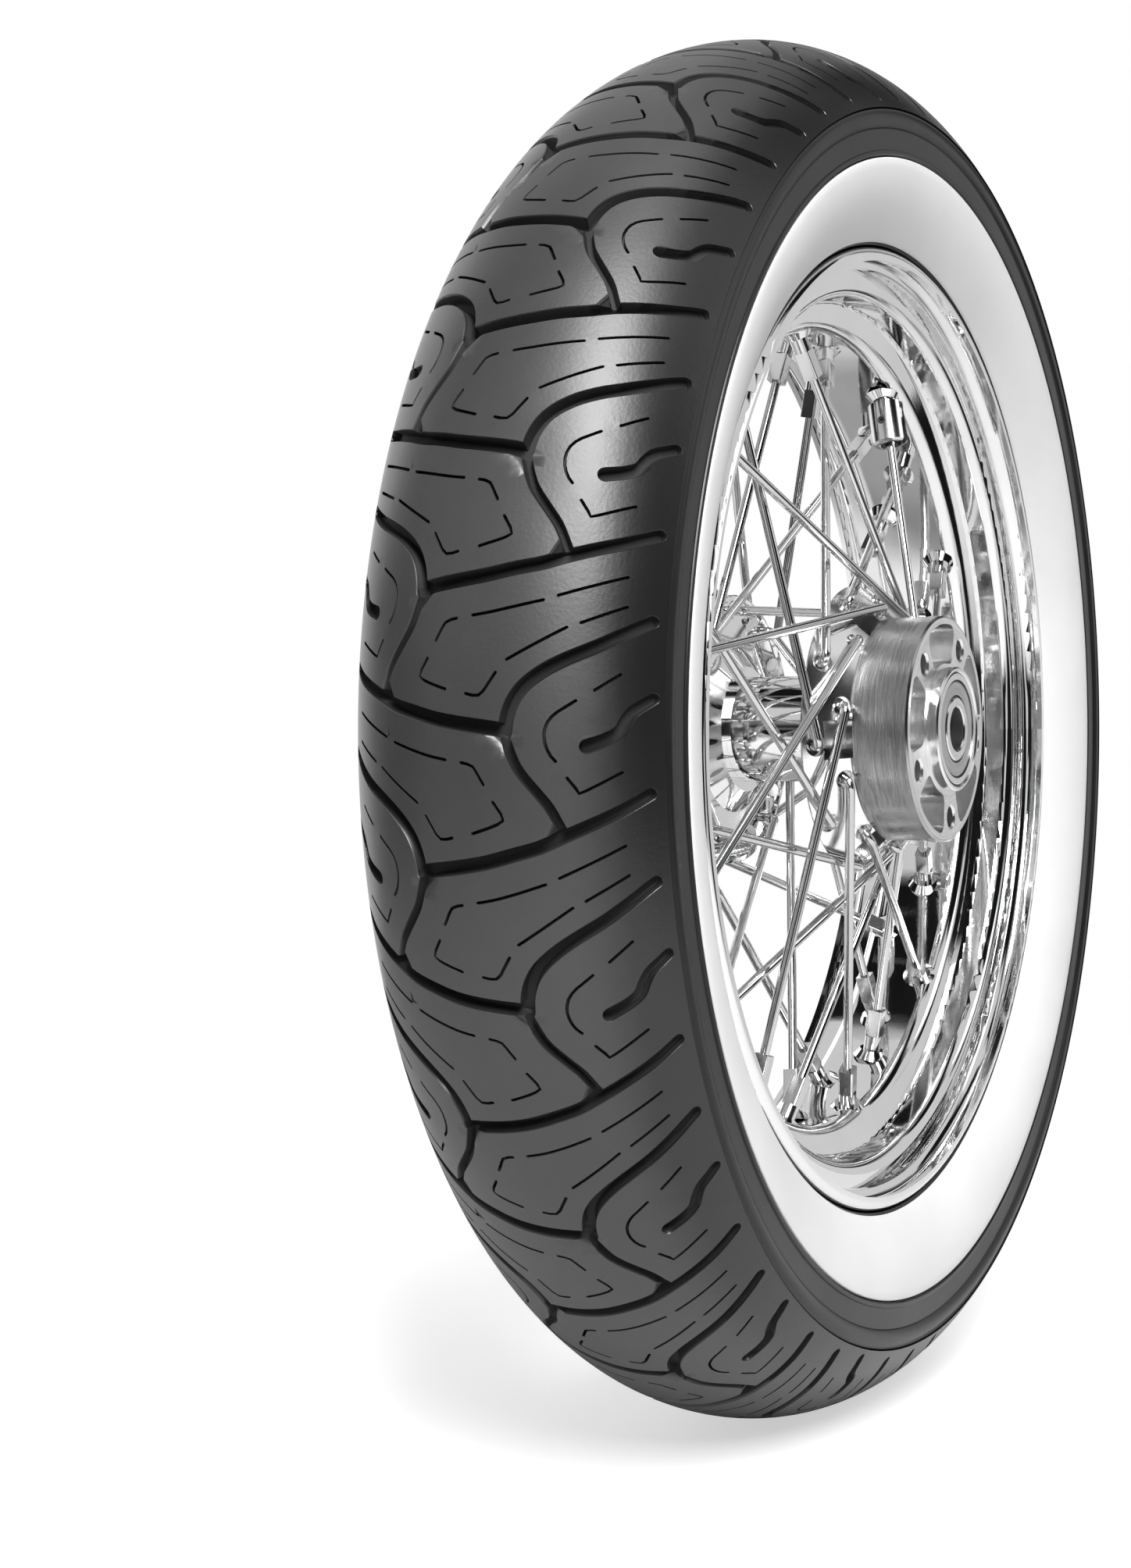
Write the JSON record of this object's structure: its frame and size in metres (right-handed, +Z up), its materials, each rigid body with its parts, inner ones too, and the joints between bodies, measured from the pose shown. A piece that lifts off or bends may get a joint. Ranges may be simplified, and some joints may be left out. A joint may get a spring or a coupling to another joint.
{
  "type": "motorcycle tire",
  "caption": "Rear motorcycle tyre with grooved tread and wide white sidewalls, mounted on a chrome wire-spoked wheel with a sealed-bearing hub.",
  "frame": {"origin": "centre of the wheel, on the axle line and in the tread's middle plane", "axes": "+Y along the axle, away from the five-hole drum face, which looks along -Y; +Z up; +X in the wheel's plane"},
  "size_m": [0.635, 0.147, 0.635],
  "materials": {
    "black_rubber": "matt",
    "tread_rubber": "matt",
    "white_rubber": "satin",
    "ply_cord": "woven, rubber coated",
    "liner_rubber": "smooth",
    "tube_rubber": "satin",
    "strip_rubber": "satin",
    "bead_wire": "drawn wire",
    "rim_chrome": "mirror",
    "spoke_steel": "polished",
    "nipple_chrome": "polished",
    "weight_metal": "satin",
    "screw_steel": "plain",
    "turned_aluminium": "lathe turned",
    "polished_aluminium": "polished",
    "hub_chrome": "mirror",
    "bearing_steel": "ground",
    "cage_steel": "pressed",
    "shield_steel": "satin",
    "spacer_steel": "plain",
    "clip_steel": "phosphated",
    "valve_brass": "nickel plated",
    "cap_metal": "polished"
  },
  "bodies": {
    "axle_sleeve": {"bearing_inner_ring_near": "bearing_steel", "axle_spacer": "spacer_steel", "bearing_inner_ring_far": "bearing_steel"},
    "ball_set_near": {"bearing_balls_near": "bearing_steel", "bearing_cage_near": "cage_steel"},
    "ball_set_far": {"bearing_balls_far": "bearing_steel", "bearing_cage_far": "cage_steel"},
    "valve_pin": {"valve_core_pin": "valve_brass"},
    "valve_cap": {"valve_cap": "cap_metal"},
    "wheel": {"tread_cap": "tread_rubber", "belt_ply_outer": "ply_cord", "belt_ply_inner": "ply_cord", "carcass_ply": "ply_cord", "inner_liner": "liner_rubber", "sidewall_near": "black_rubber", "sidewall_far": "black_rubber", "whitewall_near": "white_rubber", "whitewall_far": "white_rubber", "bead_core_near": "bead_wire", "bead_core_far": "bead_wire", "bead_filler_near": "liner_rubber", "bead_filler_far": "liner_rubber", "inner_tube": "tube_rubber", "rim_strip": "strip_rubber", "rim": "rim_chrome", "spokes_near_outer": "spoke_steel", "spokes_near_inner": "spoke_steel", "spokes_far_outer": "spoke_steel", "spokes_far_inner": "spoke_steel", "nipples_near": "nipple_chrome", "nipples_far": "nipple_chrome", "balance_weight": "weight_metal", "weight_screw": "screw_steel", "hub_drum": "turned_aluminium", "star_flange": "polished_aluminium", "hub_tube": "hub_chrome", "far_flange": "hub_chrome", "far_boss": "turned_aluminium", "far_circlip": "clip_steel", "bearing_outer_ring_near": "bearing_steel", "bearing_seals_near": "shield_steel", "bearing_outer_ring_far": "bearing_steel", "bearing_seals_far": "shield_steel", "valve_stem": "valve_brass", "valve_rim_nut": "valve_brass", "valve_core": "valve_brass"}
  },
  "joints": [
    {"name": "wheel_spin", "type": "hinge", "parent": "axle_sleeve", "child": "wheel", "pos_m": [0, 0, 0], "axis": [0, 1, 0], "continuous": true},
    {"name": "ball_set_near_spin", "type": "hinge", "parent": "axle_sleeve", "child": "ball_set_near", "pos_m": [0, 0, 0], "axis": [0, 1, 0], "continuous": true},
    {"name": "ball_set_far_spin", "type": "hinge", "parent": "axle_sleeve", "child": "ball_set_far", "pos_m": [0, 0, 0], "axis": [0, 1, 0], "continuous": true},
    {"name": "valve_pin_press", "type": "slide", "parent": "wheel", "child": "valve_pin", "axis": [-0.9981, 0, 0.061], "range_m": [0, 0.0015], "stiffness_N_per_m": 900},
    {"name": "valve_cap_lift", "type": "slide", "parent": "wheel", "child": "valve_cap", "axis": [0.9981, 0, -0.061], "range_m": [0, 0.025]}
  ],
  "couplings": [
    {"joint": "ball_set_near_spin", "follows": "wheel_spin", "ratio": 0.63229},
    {"joint": "ball_set_far_spin", "follows": "wheel_spin", "ratio": 0.63229}
  ]
}
